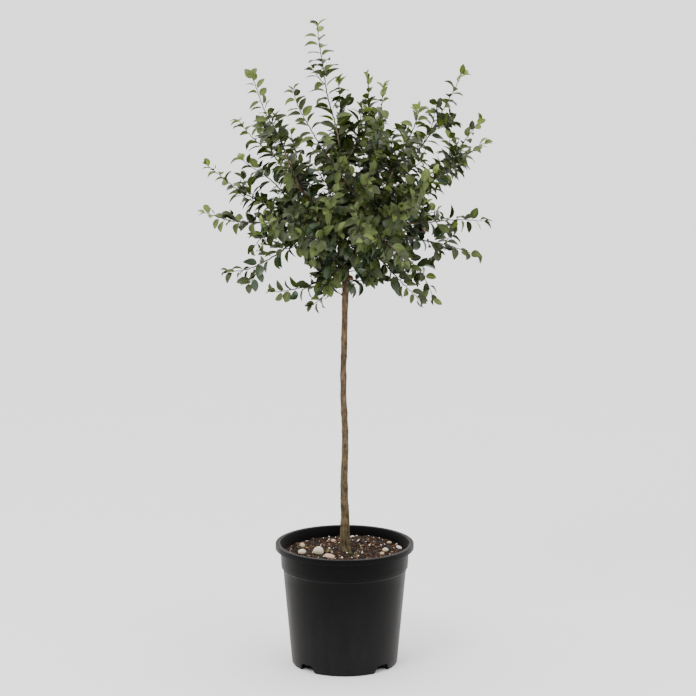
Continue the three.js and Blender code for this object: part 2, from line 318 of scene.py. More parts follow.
def potProfile(sizes, height, rim):
    # radius and height of each ring, from the underside round to the inner floor
    wall, lip, bevel = sizes["wall"], sizes["lipDepth"], sizes["lipRound"]
    foot, body, collar = sizes["footRadius"], sizes["bodyRadius"], sizes["collarRadius"]
    shoulder = height - sizes["shoulderDrop"]
    ridge = height - sizes["ridgeDrop"]
    collarFoot = height - sizes["collarDrop"]
    under = height - lip
    groove = rim - sizes["grooveIn"]
    rings = [(foot - 0.003, 0.0), (foot - 0.0012, 0.0006), (foot, 0.0025)]
    rings += [(foot + (body - foot) * share, shoulder * share) for share in (0.08, 0.3, 0.6, 0.9, 1.0)]
    rings += [(body + 0.0012, shoulder + 0.003), (body + 0.0032, ridge - 0.0012),
              (body + 0.0032 + sizes["ridgeOut"], ridge), (body + 0.0036, ridge + 0.0014),
              (collar - 0.0016, collarFoot), (collar - 0.0014, collarFoot + 0.004), (collar, under - 0.003),
              (collar + 0.0002, under)]
    rings += [(rim - 0.0012, under), (rim - 0.0002, under + 0.0004), (rim, under + 0.0012)]
    rings += [(rim, height - bevel), (rim - 0.25 * bevel, height - 0.35 * bevel), (rim - bevel, height)]
    rings += [(groove + 0.0009, height), (groove, height - sizes["grooveDeep"]), (groove - 0.0009, height)]
    mouth = sizes["mouthRadius"]
    rings += [(mouth + bevel, height), (mouth + 0.0005, height - 0.4 * bevel), (mouth, height - bevel)]
    rings += [(collar - wall, height - sizes["mouthDepth"]), (collar - wall - 0.0014, collarFoot)]
    rings += [(body - wall, shoulder)]
    rings += [(foot - wall + 0.001, sizes["floor"] + 0.003), (foot - wall - 0.002, sizes["floor"])]
    return rings


def turnedWall(name, rings, sides):
    # a disc drawn up ring by ring, each ring scaled to its radius
    radius, height = rings[0]
    deselectAll()
    bpy.ops.mesh.primitive_circle_add(vertices=sides, radius=radius, fill_type="NGON",
                                      location=(0, 0, height))
    piece = named(bpy.context.active_object, name)
    bpy.ops.object.transform_apply(location=True)
    editAll()
    for nextRadius, nextHeight in rings[1:]:
        bpy.ops.mesh.extrude_region_move(TRANSFORM_OT_translate={"value": (0, 0, nextHeight - height)})
        grow = nextRadius / radius
        bpy.ops.transform.resize(value=(grow, grow, 1), center_override=(0, 0, nextHeight))
        radius, height = nextRadius, nextHeight
    turnOut()
    return piece


def notchCutter(bearing, sizes):
    # a block, narrower at its top, that stands across the foot of the wall
    foot, below, wide = sizes["footRadius"], sizes["notchBelow"], sizes["notchFoot"]
    tall = sizes["notchHeight"] + below
    deselectAll()
    bpy.ops.mesh.primitive_cube_add(size=1, location=(0, 0, 0))
    cutter = named(bpy.context.active_object, "notchBlock")
    editAll()
    bpy.ops.transform.resize(value=(2 * sizes["notchDepth"], wide, tall), center_override=(0, 0, 0))
    bpy.ops.transform.translate(value=(foot, 0, tall / 2 - below))
    bpy.ops.mesh.select_all(action="DESELECT")
    bpy.ops.object.mode_set(mode="OBJECT")
    for face in cutter.data.polygons:
        face.select = face.normal.z > 0.9
    bpy.ops.object.mode_set(mode="EDIT")
    bpy.ops.transform.resize(value=(1, sizes["notchTop"] / wide, 1), center_override=(foot, 0, 0))
    bpy.ops.mesh.select_all(action="SELECT")
    bpy.ops.transform.rotate(value=math.radians(bearing), orient_axis="Z", center_override=(0, 0, 0))
    bpy.ops.object.mode_set(mode="OBJECT")
    return cutter


def makePot():
    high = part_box("pot")[1]
    pot = turnedWall("pot_wall", potProfile(potSizes, high.z, high.x), potSizes["sides"])
    for bearing in potSizes["notchBearings"]:
        cutter = notchCutter(bearing, potSizes)
        cut = pot.modifiers.new("notch", "BOOLEAN")
        cut.operation = "DIFFERENCE"
        cut.object = cutter
        applyModifiers(pot)
        bpy.data.objects.remove(cutter)
    smooth(pot, 38)
    return settle(pot, potPlastic(), "pot", "pot")


def potPlastic():
    # black moulded plastic, satin outside, with faint flow marks; its base colour is lighter towards the
    # foot and near-black at the top, a painted reflection of the pale floor
    material, shader = newMaterial("potPlastic", 0.4, 0.065)
    tree = material.node_tree
    tone = addMottle(material, (0.0075, 0.0069, 0.0071), (0.0125, 0.0116, 0.0119), 38, (1, 1, 0.3), 2.0)
    height = axes(tree, newCoordinates(tree)["Object"])["Z"]
    # painted reflection: the base colour runs from the mottled plastic at the foot to near-black at the top,
    # as the pale floor would reflect low down
    paintedFloorReflection = ranged(tree, height, (0.02, 0.27), (1, 0.03))
    paintedDarkTop = (0.0006, 0.0006, 0.0006, 1)
    feed(shader, {
        "Base Color": mixed(tree, paintedFloorReflection, paintedDarkTop, tone["Color"]),
        "Roughness": ranged(tree, tone["Height"], (0, 1), (0.38, 0.5)),
        "Sheen Weight": 0.07,
        "Sheen Roughness": 0.45,
        "Sheen Tint": (1.0, 0.93, 0.88, 1),
    })
    addBump(material, shader, addGrain(material, 900, contrast=1.5), 0.00012, 0.5)
    return material


makePot()
print("pot made")


# the soil: a rough crumbly surface with bark bits, white grains and pebbles

soilSizes = {
    "seed": 11,
    "cells": 150,
    "lumps": [(0.0034, 55, 3.1), (0.0019, 190, 8.4), (0.00095, 420, 1.7)],  # height, scale, level
    "mound": 0.0095,
    "moundPlace": (0.06, 0.095),
    "moundSpread": 0.045,
    "depth": 0.03,
    "edgeDrop": 0.005,
    "clearWall": 0.0004,
    "chips": 1500,
    "chipLength": (0.004, 0.014),
    "grains": 150,
    "grainSize": (0.0014, 0.0058),
    "moss": 46,
    "mossPatches": [(-0.038, 0.007), (-0.12, 0.045), (0.02, -0.03)],
    "mossSpread": 0.009,
    "stemClear": 0.017,
    "stoneLift": 0.34,
}

# bark bits: their share of the chips, how far they lie proud, and their darkest and lightest colour
barkKinds = {
    "dark": (0.5, 0.2, (0.002, 0.0013, 0.001), (0.018, 0.009, 0.005)),
    "red": (0.34, 0.25, (0.02, 0.008, 0.004), (0.15, 0.062, 0.026)),
    "pale": (0.16, 0.3, (0.12, 0.065, 0.03), (0.28, 0.17, 0.085)),
}

stoneKinds = {
    "cream": ((0.42, 0.36, 0.24), (0.66, 0.6, 0.46)),
    "tan": ((0.3, 0.22, 0.12), (0.5, 0.4, 0.25)),
    "rose": ((0.34, 0.2, 0.13), (0.56, 0.38, 0.27)),
    "chalk": ((0.6, 0.57, 0.5), (0.82, 0.79, 0.72)),
}

# each stone: right, back, length, width, thickness, kind
pebbles = [
    (-0.067, -0.020, 0.027, 0.025, 0.023, "cream"),
    (-0.109, -0.017, 0.024, 0.018, 0.014, "cream"),
    (-0.110, 0.050, 0.021, 0.014, 0.012, "tan"),
    (-0.039, -0.060, 0.030, 0.021, 0.014, "rose"),
    (0.105, -0.005, 0.016, 0.013, 0.012, "cream"),
    (0.096, -0.030, 0.013, 0.011, 0.009, "tan"),
    (0.141, 0.035, 0.021, 0.008, 0.008, "chalk"),
    (0.116, 0.075, 0.013, 0.010, 0.007, "tan"),
    (-0.030, 0.090, 0.015, 0.011, 0.008, "rose"),
    (0.040, -0.105, 0.017, 0.012, 0.009, "cream"),
    (-0.090, -0.105, 0.013, 0.011, 0.008, "tan"),
    (0.020, 0.125, 0.012, 0.009, 0.007, "cream"),
]


def soilHeight(x, y, bed):
    # the crowned surface, a mound at the back, and clods and crumbs on both
    radius, crest, edge = bed
    away = math.hypot(x, y) / radius
    height = crest + (edge - crest) * min(1, away) ** 1.2
    moundX, moundY = soilSizes["moundPlace"]
    near = math.hypot(x - moundX, y - moundY) / soilSizes["moundSpread"]
    height += soilSizes["mound"] * math.exp(-0.5 * near * near)
    for tall, scale, level in soilSizes["lumps"]:
        height += noise.noise(Vector((x * scale, y * scale, level))) * tall
    return height


def makeSoil():
    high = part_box("soil")[1]
    radius = high.x - soilSizes["clearWall"]
    bed = radius, high.z, high.z - soilSizes["edgeDrop"]
    cells = soilSizes["cells"]
    deselectAll()
    bpy.ops.mesh.primitive_grid_add(x_subdivisions=cells, y_subdivisions=cells, size=2 * radius)
    soil = named(bpy.context.active_object, "soil_surface")
    for vertex in soil.data.vertices:
        x, y = vertex.co.x, vertex.co.y
        # the square grid is eased into a disc
        if x or y:
            squeeze = max(abs(x), abs(y)) / math.hypot(x, y)
            x, y = x * squeeze, y * squeeze
        vertex.co = (x, y, soilHeight(x, y, bed))
    bpy.ops.object.mode_set(mode="EDIT")
    bpy.ops.mesh.select_mode(type="EDGE")
    bpy.ops.mesh.select_all(action="DESELECT")
    bpy.ops.mesh.select_non_manifold()
    bpy.ops.mesh.extrude_region_move(TRANSFORM_OT_translate={"value": (0, 0, -soilSizes["depth"])})
    bpy.ops.mesh.edge_face_add()
    bpy.ops.mesh.select_mode(type="VERT")
    turnOut()
    smooth(soil)
    earth = mottledSkin("pottingMix", "earth", (0.002, 0.0012, 0.0008), (0.034, 0.018, 0.01))
    settle(soil, earth, "soil", "soil")
    return bed


def lumpTemplate(rng, divisions, jitter):
    # a rough stone-like lump of unit size, its corners pushed about
    deselectAll()
    bpy.ops.mesh.primitive_ico_sphere_add(subdivisions=divisions, radius=0.5)
    lump = bpy.context.active_object
    points = meshPoints(lump) * (1 + rng.uniform(-jitter, jitter, (len(lump.data.vertices), 1)))
    faces = [tuple(face.vertices) for face in lump.data.polygons]
    bpy.data.objects.remove(lump)
    return points, faces


def turnMatrix(rng, tilt):
    # a turn about the vertical and a smaller tilt
    turn, lean, bearing = rng.uniform(0, 2 * np.pi), rng.normal(0, tilt), rng.uniform(0, 2 * np.pi)
    c, s = math.cos(turn), math.sin(turn)
    spin = np.array([[c, -s, 0], [s, c, 0], [0, 0, 1]])
    axis = np.array([math.cos(bearing), math.sin(bearing), 0])
    k = np.array([[0, 0, axis[1]], [0, 0, -axis[0]], [-axis[1], axis[0], 0]])
    return (np.eye(3) + math.sin(lean) * k + (1 - math.cos(lean)) * k @ k) @ spin


def scatterBits(name, rng, count, templates, sizes, lift, bed, material, tilt=0.5, patches=None):
    # many copies of a few small shapes strewn over the soil, or round a few patches, as one mesh
    radius = bed[0]
    bundle, made = Bundle(), 0
    while made < count:
        away = radius * math.sqrt(rng.uniform(0, 1)) * 0.985
        bearing = rng.uniform(0, 2 * np.pi)
        x, y = away * math.cos(bearing), away * math.sin(bearing)
        if patches:
            x, y = np.array(patches[made % len(patches)]) + rng.normal(0, soilSizes["mossSpread"], 2)
            away = math.hypot(x, y)
        size = sizes(rng)
        if away < soilSizes["stemClear"] or away + size[0] / 2 > radius:
            continue
        points, faces = templates[rng.integers(len(templates))]
        z = soilHeight(x, y, bed) + lift * size[2]
        bundle.add((points * size) @ turnMatrix(rng, tilt).T + (x, y, z), faces)
        made += 1
    return bundle.finish(name, material, "soil")


def makePebbles(bed):
    for kind, (dark, light) in stoneKinds.items():
        stones = []
        for number, (x, y, length, width, thick, itsKind) in enumerate(pebbles):
            if itsKind != kind:
                continue
            deselectAll()
            bpy.ops.mesh.primitive_ico_sphere_add(subdivisions=4, radius=0.5, location=(0, 0, 0))
            stone = bpy.context.active_object
            moveVertices(stone, lambda p: 0.04 * noise.noise(p * 1.7 + Vector((number, 2, 5)))
                         + 0.012 * noise.noise(p * 9 + Vector((number, 7, 1))))
            stone.scale = (length, width, thick)
            stone.rotation_euler = (0.12 * math.sin(number), 0.1 * math.cos(number), 0.9 * number)
            stone.location = (x, y, soilHeight(x, y, bed) + soilSizes["stoneLift"] * thick)
            bpy.ops.object.transform_apply(location=True, rotation=True, scale=True)
            stones.append(stone)
        selectOnly(*stones)
        bpy.ops.object.join()
        group = named(bpy.context.active_object, kind + "_stones")
        smooth(group)
        settle(group, mottledSkin(kind + "Stone", "stone", dark, light), "soil")


def dressSoil(bed):
    rng = np.random.default_rng(soilSizes["seed"])
    flakes = [lumpTemplate(rng, 1, 0.22) for _ in range(5)]
    lumps = [lumpTemplate(rng, 1, 0.12) for _ in range(5)]

    def chipSize(r):
        length = r.uniform(*soilSizes["chipLength"]) * r.uniform(0.6, 1)
        return np.array([length, length * r.uniform(0.3, 0.6), length * r.uniform(0.16, 0.34)])

    def grainSize(r):
        # small grains are far more common than large ones
        least, most = soilSizes["grainSize"]
        size = least + (most - least) * r.uniform(0, 1) ** 2.2
        return np.array([size, size * r.uniform(0.5, 1), size * r.uniform(0.45, 0.9)])

    for kind, (share, lift, dark, light) in barkKinds.items():
        bark = mottledSkin(kind + "Bark", "barkBit", dark, light)
        scatterBits(kind + "_bark", rng, int(soilSizes["chips"] * share), flakes, chipSize, lift, bed, bark)
    white = mottledSkin("whiteGrain", "grain", (0.74, 0.72, 0.68), (0.93, 0.92, 0.89))
    scatterBits("white_grains", rng, soilSizes["grains"], lumps, grainSize, 0.25, bed, white, 1.0)
    moss = mottledSkin("greenMoss", "barkBit", (0.03, 0.045, 0.01), (0.1, 0.12, 0.03))
    scatterBits("moss_flecks", rng, soilSizes["moss"], lumps, chipSize, 0.3, bed, moss,
                patches=soilSizes["mossPatches"])
    makePebbles(bed)


soilBed = makeSoil()
dressSoil(soilBed)
print("soil made")


# curves: a limb is a row of points, and each keeps its own thickness

def distances(path):
    # how far along the path each of its points lies
    return np.concatenate([[0], np.cumsum(np.linalg.norm(np.diff(path, axis=0), axis=1))])


def evenly(points, spacing):
    # the same path with points at even steps
    points = np.asarray(points, float)
    along = distances(points)
    count = max(2, int(round(along[-1] / spacing)) + 1)
    where = np.linspace(0, along[-1], count)
    return np.stack([np.interp(where, along, points[:, i]) for i in range(3)], axis=1)


def splined(points, spacing):
    # a smooth path through the points
    points = np.asarray(points, float)
    ends = [2 * points[0] - points[1], *points, 2 * points[-1] - points[-2]]
    path = []
    for p0, p1, p2, p3 in zip(ends, ends[1:], ends[2:], ends[3:]):
        for t in np.linspace(0, 1, 12, endpoint=False):
            path.append(0.5 * (2 * p1 + (p2 - p0) * t + (2 * p0 - 5 * p1 + 4 * p2 - p3) * t ** 2
                               + (3 * p1 - p0 - 3 * p2 + p3) * t ** 3))
    path.append(points[-1])
    return evenly(path, spacing)


def unit(v):
    return v / max(np.linalg.norm(v), 1e-9)


def tangents(path):
    return np.array([unit(v) for v in np.gradient(path, axis=0)])


def sides(path):
    # a steady pair of directions across the path at each point
    along = tangents(path)
    across = unit(np.cross(along[0], (0.3, 0.9, 0.31)))
    pairs = []
    for t in along:
        across = unit(across - t * np.dot(across, t))
        pairs.append((across, np.cross(t, across)))
    return pairs


def tube(path, radii, count):
    # points and faces of a round limb, closed at both ends
    turn = np.linspace(0, 2 * np.pi, count, endpoint=False)
    rings = []
    for point, (one, two), radius in zip(path, sides(path), radii):
        rings.append(point + radius * (np.outer(np.cos(turn), one) + np.outer(np.sin(turn), two)))
    points = np.concatenate([*rings, [path[0]], [path[-1]]])
    faces = []
    for ring in range(len(path) - 1):
        for side in range(count):
            here, beside = ring * count + side, ring * count + (side + 1) % count
            faces.append((here, beside, beside + count, here + count))
    first, last = len(path) * count, (len(path) - 1) * count
    for side in range(count):
        beside = (side + 1) % count
        faces.append((first, beside, side))
        faces.append((first + 1, last + side, last + beside))
    return points, faces


# the stem and the boughs: wood with bark relief

woodSizes = {
    "seed": 5,
    "stemSides": 28,
    "stemSlices": 34,
    "footFlare": 1.12,
    "tipTaper": 0.6,
    "boughSides": 16,
    "ringStep": 0.0035,
    "furrow": 0.00055,
    "furrowScale": (260, 26),
    "broadScale": 34,
    "pit": 0.0003,
    "pitScale": 420,
    "nodeStep": 0.064,
    "nodeSwell": 0.0007,
    "boughRoot": 0.0051,
    "boughTip": 0.0029,
    "boughStep": 0.005,
    "boughBins": 6,
    "rootReach": 0.014,
    "endReach": 0.008,
    "boughSink": 0.004,
    "collarSwell": 0.003,
    "collarLength": 0.012,
    "stubDent": 0.16,
    "stubRough": 0.16,
    "scars": 46,
    "scarSize": (0.0012, 0.0042, 0.0026),
    "scarFoot": 0.012,
    "scarTop": 1.09,
}

# old pruning stubs: height, bearing in degrees, width, tallness, how far it stands out
stubs = [
    (1.004, -12, 0.0135, 0.0145, 0.011),
    (1.052, -40, 0.009, 0.0085, 0.006),
    (0.962, 198, 0.0075, 0.007, 0.0045),
    (0.905, 60, 0.006, 0.006, 0.0035),
    (0.655, -70, 0.0055, 0.006, 0.003),
    (0.435, -140, 0.006, 0.0065, 0.0032),
]


def sampleNode(name, rng, count=3000):
    # points spread evenly over a solid's faces
    mesh = nodes[name].data
    mesh.calc_loop_triangles()
    points = meshPoints(nodes[name])
    corners = np.array([t.vertices for t in mesh.loop_triangles])
    a, b, c = points[corners[:, 0]], points[corners[:, 1]], points[corners[:, 2]]
    area = np.linalg.norm(np.cross(b - a, c - a), axis=1)
    pick = rng.choice(len(area), count, p=area / area.sum())
    u, v = rng.uniform(0, 1, (2, count))
    flip = u + v > 1
    u, v = np.where(flip, 1 - u, u), np.where(flip, 1 - v, v)
    return a[pick] + u[:, None] * (b - a)[pick] + v[:, None] * (c - a)[pick]


def binnedPath(points, start, edges):
    # centres and mean thickness of the solid in steps away from start
    away = np.linalg.norm(points - start, axis=1)
    centres, girths = [], []
    for low, high in zip(edges, edges[1:]):
        inside = points[(away >= low) & (away < high)]
        if len(inside) > 20:
            centre = inside.mean(0)
            centres.append(centre)
            girths.append(np.linalg.norm(inside - centre, axis=1).mean())
    return centres, girths


def stemPath():
    # the stem's centreline and thickness, read off its solid in level slices
    heights = meshPoints(nodes["trunk"])[:, 2]
    cloud = sampleNode("trunk", np.random.default_rng(woodSizes["seed"]), 20000)
    path, radii = [], []
    levels = np.linspace(heights.min(), heights.max(), woodSizes["stemSlices"])
    for floor, roof in zip(levels, levels[1:]):
        ring = cloud[(cloud[:, 2] >= floor) & (cloud[:, 2] < roof)]
        centre = ring.mean(0)
        centre[2] = (floor + roof) / 2
        path.append(centre)
        radii.append(np.linalg.norm((ring - centre)[:, :2], axis=1).mean())
    foot, top = path[0].copy(), path[-1].copy()
    foot[2], top[2] = levels[0], levels[-1]
    radii = [radii[0] * woodSizes["footFlare"], *radii, radii[-1] * woodSizes["tipTaper"]]
    return np.array([foot, *path, top]), np.array(radii)


def limbRadii(path, knots, knotRadii):
    # thickness along a finer path, carried over from a coarser one
    fine, coarse = distances(path), distances(knots)
    return np.interp(fine / fine[-1], coarse / coarse[-1], knotRadii)


def barkRelief(point):
    # long shallow furrows, a broad unevenness, and small pits
    across, along = woodSizes["furrowScale"]
    furrow = noise.noise(Vector((point.x * across, point.y * across, point.z * along))) * woodSizes["furrow"]
    pit = noise.noise(point * woodSizes["pitScale"]) * woodSizes["pit"]
    broad = noise.noise(point * woodSizes["broadScale"]) * woodSizes["furrow"]
    return furrow + pit + broad


stemKnots, stemKnotRadii = stemPath()


def stemPointAt(height):
    return np.array([np.interp(height, stemKnots[:, 2], stemKnots[:, i]) for i in range(3)])


def makeStem():
    path = splined(stemKnots, woodSizes["ringStep"])
    radii = limbRadii(path, stemKnots, stemKnotRadii)
    heights = path[:, 2]
    # a slight swelling at each old leaf joint
    phase = (heights / woodSizes["nodeStep"] + 0.25 * np.sin(heights * 31)) % 1
    radii += woodSizes["nodeSwell"] * np.exp(-((phase - 0.5) / 0.11) ** 2)
    stem = meshFrom("stem_bark", *tube(path, radii, woodSizes["stemSides"]))
    moveVertices(stem, barkRelief)
    smooth(stem)
    makeStubs()
    bark = stemBark("stemBark", (0.038, 0.028, 0.017), (0.165, 0.125, 0.082))
    return settle(stem, bark, "bark", "trunk")


def onStem(height, bearing):
    # a point on the stem's skin, and the directions out of it and round it
    girth = np.interp(height, stemKnots[:, 2], stemKnotRadii)
    out = np.array([math.cos(bearing), math.sin(bearing), 0])
    around = np.array([-out[1], out[0], 0])
    return stemPointAt(height) + out * girth, out, around


def setOnStem(shape, height, bearing, deep, wide, tall):
    # a unit shape sized and stood on the stem's skin
    skin, out, around = onStem(height, bearing)
    return (skin + shape[:, :1] * out * deep + shape[:, 1:2] * around * wide
            + shape[:, 2:] * np.array([0, 0, tall]))


def makeStubs():
    # healed pruning stubs with a sunken middle, and small leaf scars up the stem
    rng = np.random.default_rng(woodSizes["seed"] + 2)
    healed, scars = Bundle(), Bundle()
    dome, domeFaces = lumpTemplate(rng, 4, 0.0)
    rough, roughFaces = lumpTemplate(rng, 2, 0.16)
    dent = woodSizes["stubDent"]
    for height, bearing, width, tall, stands in stubs:
        ring = np.linalg.norm(dome[:, 1:], axis=1)
        face = dome[:, 0] - dent * np.exp(-(ring / dent) ** 2) * (dome[:, 0] > 0)
        wave = np.array([noise.noise(Vector(p) * 5 + Vector((0, 0, height * 40))) for p in dome])
        swell = 1 + woodSizes["stubRough"] * wave
        shape = dome * swell[:, None]
        shape[:, 0] = face * swell
        healed.add(setOnStem(shape, height, math.radians(bearing), 2 * stands, width, tall), domeFaces)
    low, high = stemKnots[0, 2] + woodSizes["scarFoot"], woodSizes["scarTop"]
    for number in range(woodSizes["scars"]):
        height = low + (high - low) * (number + rng.uniform(0.1, 0.9)) / woodSizes["scars"]
        bearing = number * 2.4 + rng.uniform(-0.3, 0.3)
        deep, wide, tall = np.array(woodSizes["scarSize"]) * rng.uniform(0.6, 1.25)
        scars.add(setOnStem(rough, height, bearing, deep, wide, tall), roughFaces)
    stubBark = mottledSkin("stubBark", "barkBit", (0.06, 0.028, 0.015), (0.19, 0.1, 0.058))
    healed.finish("pruning_stubs", stubBark, "bark", degrees=60)
    scarBark = mottledSkin("scarBark", "barkBit", (0.02, 0.013, 0.008), (0.07, 0.047, 0.028))
    scars.finish("leaf_scars", scarBark, "bark", degrees=60)


def stemBark(name, dark, light):
    # young bark, streaked along the limb: olive-grey at the foot and a warmer brown higher up
    material, shader = newMaterial(name, 0.8, 0.22)
    tree = material.node_tree
    streak = addMottle(material, dark, light, 170, (1, 1, 0.3), 3.0)
    patch = addMottle(material, (0.5, 0.5, 0.44), (1.05, 1.03, 1.0), 60, (1, 1, 0.7), 3.2)
    patched = mixed(tree, 1, streak["Color"], patch["Color"], "MULTIPLY")
    climb = ranged(tree, axes(tree, newCoordinates(tree)["Object"])["Z"], (0.3, 0.95), (0, 1))
    cast = mixed(tree, climb, (0.86, 0.86, 0.68, 1), (1.05, 0.87, 0.78, 1))
    feed(shader, {"Base Color": mixed(tree, 1, patched, cast, "MULTIPLY")})
    coarse = addBump(material, shader, streak["Height"], 0.0008, 0.8)
    addBump(material, shader, addGrain(material, 520, (1, 1, 0.5), 2.6), 0.0004, 0.6, coarse)
    return material


def boughPath(name):
    # from inside the stem out to the bough's far end
    cloud = sampleNode(name, np.random.default_rng(woodSizes["seed"]), 4000)
    stemAt = np.array([stemPointAt(z) for z in np.clip(cloud[:, 2], stemKnots[0, 2], stemKnots[-1, 2])])
    root = cloud[np.argmin(np.linalg.norm(cloud - stemAt, axis=1))]
    near = cloud[np.linalg.norm(cloud - root, axis=1) < woodSizes["rootReach"]].mean(0)
    away = np.linalg.norm(cloud - near, axis=1)
    centres = binnedPath(cloud, near, np.linspace(0, away.max(), woodSizes["boughBins"]))[0]
    far = cloud[away > away.max() - woodSizes["endReach"]].mean(0)
    inside = stemPointAt(near[2] - woodSizes["boughSink"])
    return splined([inside, near, *centres[1:-1], far], woodSizes["boughStep"])


def makeBoughs():
    # the boughs as one piece, and the path of each by its short name
    bundle, paths = Bundle(), {}
    root, tip = woodSizes["boughRoot"], woodSizes["boughTip"]
    names = sorted(n for n in nodes if n.startswith("bough_"))
    for name in names:
        path = boughPath(name)
        share = np.linspace(0, 1, len(path))
        along = share * len(path) * woodSizes["boughStep"]
        radii = root + (tip - root) * share
        radii += woodSizes["collarSwell"] * np.exp(-along / woodSizes["collarLength"])
        bundle.add(*tube(path, radii, woodSizes["boughSides"]))
        paths[name[len("bough_"):]] = path
    boughs = bundle.piece("boughs_bark")
    moveVertices(boughs, barkRelief)
    smooth(boughs)
    settle(boughs, stemBark("boughBark", (0.08, 0.056, 0.03), (0.26, 0.2, 0.12)), "bark", *names)
    return paths


makeStem()
boughPaths = makeBoughs()
print("stem and boughs made")


# leafy shoots: each mass of the frame is grown as one long shoot with its side twigs

growth = {
    "seed": 41,
    "step": 0.004,
    "shootRadius": 0.0029,
    "tipRadius": 0.001,
    "twigRadius": 0.0015,
    "woodyShare": 0.34,
    "leafStep": 0.0098,
    "leafLength": 0.0365,
    "leafWidth": 0.62,
    "petiole": 0.0045,
    "fold": (0.2, 0.62),
    "arch": (0.3, 1.25),
    "ripple": 0.14,
    "wave": 0.0014,
    "waveScale": (42, 33),
    "waveFade": 0.03,
    "kink": 0.0035,
    "bareStart": 0.05,
    "tipReach": 0.009,
    "tipTrim": 0.008,
    "lowTip": 1.15,
    "youngFrom": 0.92,
    "twigLength": (0.035, 0.09),
    "twigPlace": (0.06, 0.68),
    "twigSpread": (0.5, 0.95),
    "twigRise": 0.05,
    "twigWaver": 0.035,
    "sprigWaver": 0.03,
    "bareGirth": 0.022,
    "girthPerTwig": 0.0024,
    "usualShoot": 0.30,
    "twigsPerBough": 5,
    "innerTwig": (0.05, 0.12),
    "headMiddle": (0.0, 0.0, 1.24),
    "centralReach": 0.085,
    "sprayRoll": 0.35,
    "leafRoll": 0.42,
    "leanOut": (0.75, 1.25),
    "leanAtTip": (0.35, 0.8),
    "faceScatter": (0.62, 0.62, 0.3),
}

# how thickly the side twigs stand on each bough's shoots
fullness = {
    "leader": 0.2,
    "rise_right": 2.0,
    "rise_mid": 1.15,
    "level_left": 0.75,
    "rise_left": 1.0,
    "droop_left": 0.25,
    "low_left": 0.2,
    "right": 1.15,
    "level_right": 1.2,
    "droop_right": 1.3,
    "front_right": 1.2,
    "rear_left": 1.35,
    "rear_right": 1.25,
}

leafRows = (0.07, 0.19, 0.35, 0.53, 0.71, 0.86, 0.94)
leafColumns = (-1.0, 0.0, 1.0)


def leafOutline(t):
    # half width of the blade along its length: broad below the middle, drawn out to a point
    return np.sin(np.pi * t ** 0.86) ** 0.66 * (1 - 0.42 * t ** 3)


def leafFaces():
    columns = len(leafColumns)
    faces = [(0, 1 + i, 2 + i) for i in range(columns - 1)]
    for row in range(len(leafRows) - 1):
        start = 1 + row * columns
        for i in range(columns - 1):
            faces.append((start + i, start + i + columns, start + i + columns + 1, start + i + 1))
    tip = 1 + len(leafRows) * columns
    last = tip - columns
    faces += [(last + i, tip, last + i + 1) for i in range(columns - 1)]
    return faces


bladeFaces = leafFaces()


def leafBlade(base, forward, up, length, width, fold, arch, ripple):
    # a folded blade that arches away from its stalk
    side = np.cross(forward, up)
    points, uv = [], []

    def place(t, s):
        bend = arch * t
        centre = base + length * (forward * math.sin(bend) / arch - up * (1 - math.cos(bend)) / arch)
        normal = up * math.cos(bend) + forward * math.sin(bend)
        half = 0.5 * width * length * leafOutline(t)
        lift = half * abs(s) * math.sin(fold) + ripple * half * s * math.sin(7 * t + 3 * s)
        points.append(centre + side * half * s * math.cos(fold) + normal * lift)
        uv.append((0.5 + 0.5 * s, t))

    place(0.0, 0.0)
    for t in leafRows:
        for s in leafColumns:
            place(t, s)
    place(1.0, 0.0)
    return np.array(points), np.array(uv)


def addLeaf(bundles, stalks, tone, base, forward, up, length, rng):
    # the stalk, then the blade from its end
    stalk = growth["petiole"] * length / growth["leafLength"]
    joint = base + forward * stalk
    middle = base + forward * stalk * 0.5 + up * stalk * 0.06
    stalks.add(*tube(np.array([base, middle, joint]), (0.0006, 0.0005, 0.0004), 4))
    # small leaves are rounder than long ones
    width = growth["leafWidth"] * (1.27 - 0.28 * length / growth["leafLength"]) * rng.uniform(0.84, 1.18)
    blade, uv = leafBlade(joint, forward, up, length, width, rng.uniform(*growth["fold"]),
                          rng.uniform(*growth["arch"]), rng.uniform(-growth["ripple"], growth["ripple"]))
    bundles[tone].add(blade, bladeFaces, uv)


def turnAbout(v, axis, angle):
    return (v * math.cos(angle) + np.cross(axis, v) * math.sin(angle)
            + axis * np.dot(axis, v) * (1 - math.cos(angle)))


